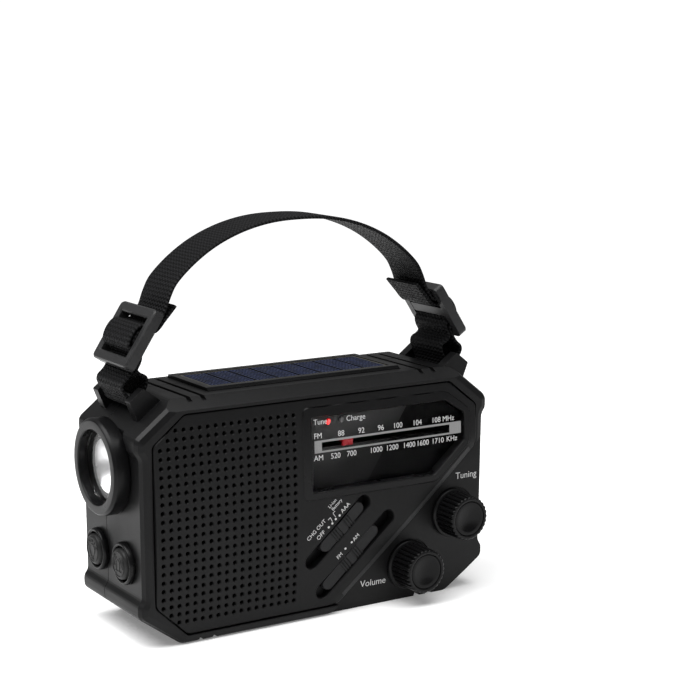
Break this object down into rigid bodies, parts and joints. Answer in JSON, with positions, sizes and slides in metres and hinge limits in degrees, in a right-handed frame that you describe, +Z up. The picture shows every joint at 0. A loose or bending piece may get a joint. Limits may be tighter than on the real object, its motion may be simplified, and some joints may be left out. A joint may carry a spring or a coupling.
{
  "type": "crank and solar emergency radio",
  "caption": "Portable black emergency radio with speaker grille, analogue dial, knobs, torch, solar panel, folding antenna, hand crank and webbing strap.",
  "frame": {"origin": "middle of the flat base, on the surface it stands on", "axes": "+X to the right seen from the front, along the radio's length; -Y out of the front face; +Z up"},
  "size_m": [0.1484, 0.0622, 0.1416],
  "materials": {
    "case_plastic": "fine-textured matte black moulding",
    "panel_plastic": "fine-textured matte black perforated panel",
    "satin_trim": "satin black moulding",
    "door_plastic": "fine-textured matte black moulding",
    "window_plastic": "polished smoked dial window with light-grey print",
    "scale_print": "black backing sheet",
    "pointer_red": "translucent red",
    "lamp_red": "lit red lamp",
    "lamp_clear": "clear unlit lamp",
    "button_rubber": "soft satin",
    "webbing": "ribbed woven black nylon",
    "solar_cells": "dark blue silicon with fine grey lines under clear resin",
    "mirror_coat": "vacuum-coated mirror",
    "antenna_chrome": "polished",
    "lens_clear": "clear polished lens",
    "lamp_dome": "clear dome over a yellow emitter",
    "steel": "zinc-plated",
    "speaker_paper": "black pressed paper",
    "gear_plastic": "natural acetal",
    "dial_cord_fibre": "waxed braided cord",
    "component_plastic": "clear-grey moulded case",
    "cell_wrap": "printed-free shrink wrap",
    "ferrite": "sintered ferrite",
    "board_laminate": "green solder mask"
  },
  "bodies": {
    "case": {"front_shell": "case_plastic", "rear_shell": "case_plastic", "front_panel": "panel_plastic", "dial_bezel": "satin_trim", "torch_bezel": "satin_trim", "torch_button_ring": "satin_trim", "sos_button_ring": "satin_trim", "solar_frame": "satin_trim", "buckle_left": "satin_trim", "buckle_right": "satin_trim", "dial_window": "window_plastic", "dial_scale": "scale_print", "tune_lamp": "lamp_red", "charge_lamp": "lamp_clear", "strap_webbing": "webbing", "solar_panel": "solar_cells", "torch_reflector": "mirror_coat", "antenna_screw": "antenna_chrome", "torch_lens": "lens_clear", "torch_led": "lamp_dome", "strap_bar_left": "steel", "strap_bar_right": "steel", "case_screw_1": "steel", "case_screw_2": "steel", "case_screw_3": "steel", "case_screw_4": "steel", "contact_plate_low": "steel", "contact_plate_high": "steel", "speaker_frame": "steel", "generator": "steel", "volume_potentiometer": "steel", "source_switch": "steel", "band_switch": "steel", "speaker_cone": "speaker_paper", "dial_cord": "dial_cord_fibre", "tuning_capacitor": "component_plastic", "aaa_cell_1": "cell_wrap", "aaa_cell_2": "cell_wrap", "aaa_cell_3": "cell_wrap", "rechargeable_cell": "cell_wrap", "ferrite_rod": "ferrite", "main_circuit_board": "board_laminate"},
    "tuning": {"tuning_knob": "satin_trim", "tuning_drum": "gear_plastic"},
    "pointer": {"dial_pointer": "pointer_red"},
    "volume": {"volume_knob": "satin_trim"},
    "source_switch_slider": {"source_slider": "satin_trim"},
    "band_switch_slider": {"band_slider": "satin_trim"},
    "torch_button": {"torch_button": "button_rubber"},
    "sos_button": {"sos_button": "button_rubber"},
    "crank": {"crank_arm": "satin_trim", "crank_gear": "gear_plastic"},
    "grip": {"crank_grip": "satin_trim"},
    "idler": {"idler_gear": "gear_plastic"},
    "pinion": {"generator_pinion": "gear_plastic"},
    "antenna_base": {"antenna_swivel": "antenna_chrome"},
    "antenna_lower": {"antenna_tube": "antenna_chrome"},
    "antenna_middle": {"antenna_section": "antenna_chrome"},
    "antenna_upper": {"antenna_rod": "antenna_chrome"},
    "door": {"battery_door": "door_plastic"}
  },
  "joints": [
    {"name": "tuning_turn", "type": "hinge", "parent": "case", "child": "tuning", "pos_m": [0.0573, -0.024, 0.0306], "axis": [0, 1, 0], "range_deg": [-61, 277]},
    {"name": "pointer_slide", "type": "slide", "parent": "case", "child": "pointer", "axis": [1, 0, 0], "range_m": [-0.009, 0.0407]},
    {"name": "volume_turn", "type": "hinge", "parent": "case", "child": "volume", "pos_m": [0.0383, -0.024, 0.0134], "axis": [0, 1, 0], "range_deg": [0, 300]},
    {"name": "source_slide", "type": "slide", "parent": "case", "child": "source_switch_slider", "axis": [0.7501, 0, 0.6613], "range_m": [-0.0039, 0.00195]},
    {"name": "band_slide", "type": "slide", "parent": "case", "child": "band_switch_slider", "axis": [0.7501, 0, 0.6613], "range_m": [0, 0.0033]},
    {"name": "torch_button_press", "type": "slide", "parent": "case", "child": "torch_button", "axis": [1, 0, 0], "range_m": [0, 0.0012], "stiffness_N_per_m": 300, "springref_m": -0.001},
    {"name": "sos_button_press", "type": "slide", "parent": "case", "child": "sos_button", "axis": [1, 0, 0], "range_m": [0, 0.0012], "stiffness_N_per_m": 300, "springref_m": -0.001},
    {"name": "crank_spin", "type": "hinge", "parent": "case", "child": "crank", "pos_m": [-0.0291, 0.024, 0.0646], "axis": [0, 1, 0], "continuous": true},
    {"name": "grip_fold", "type": "hinge", "parent": "crank", "child": "grip", "pos_m": [-0.0291, 0.0269, 0.006], "axis": [-1, 0, 0], "range_deg": [0, 90]},
    {"name": "idler_spin", "type": "hinge", "parent": "case", "child": "idler", "pos_m": [-0.01566, 0.012, 0.05117], "axis": [0, 1, 0], "continuous": true},
    {"name": "pinion_spin", "type": "hinge", "parent": "case", "child": "pinion", "pos_m": [-0.01171, 0.014, 0.03258], "axis": [0, 1, 0], "continuous": true},
    {"name": "antenna_turn", "type": "hinge", "parent": "case", "child": "antenna_base", "pos_m": [-0.0515, 0.021, 0.072], "axis": [0, 0, 1], "range_deg": [0, 120]},
    {"name": "antenna_fold", "type": "hinge", "parent": "antenna_base", "child": "antenna_lower", "pos_m": [-0.0515, 0.021, 0.081], "axis": [0, -1, 0], "range_deg": [0, 90]},
    {"name": "antenna_middle_slide", "type": "slide", "parent": "antenna_lower", "child": "antenna_middle", "axis": [1, 0, 0], "range_m": [0, 0.088]},
    {"name": "antenna_upper_slide", "type": "slide", "parent": "antenna_middle", "child": "antenna_upper", "axis": [1, 0, 0], "range_m": [0, 0.088]},
    {"name": "door_open", "type": "hinge", "parent": "case", "child": "door", "pos_m": [0.02875, 0.02283, 0.0425], "axis": [0, 0, 1], "range_deg": [0, 90]}
  ],
  "couplings": [
    {"joint": "pointer_slide", "follows": "tuning_turn", "m_per_rad": 0.0084},
    {"joint": "idler_spin", "follows": "crank_spin", "ratio": -2.8},
    {"joint": "pinion_spin", "follows": "crank_spin", "ratio": 7.84}
  ]
}
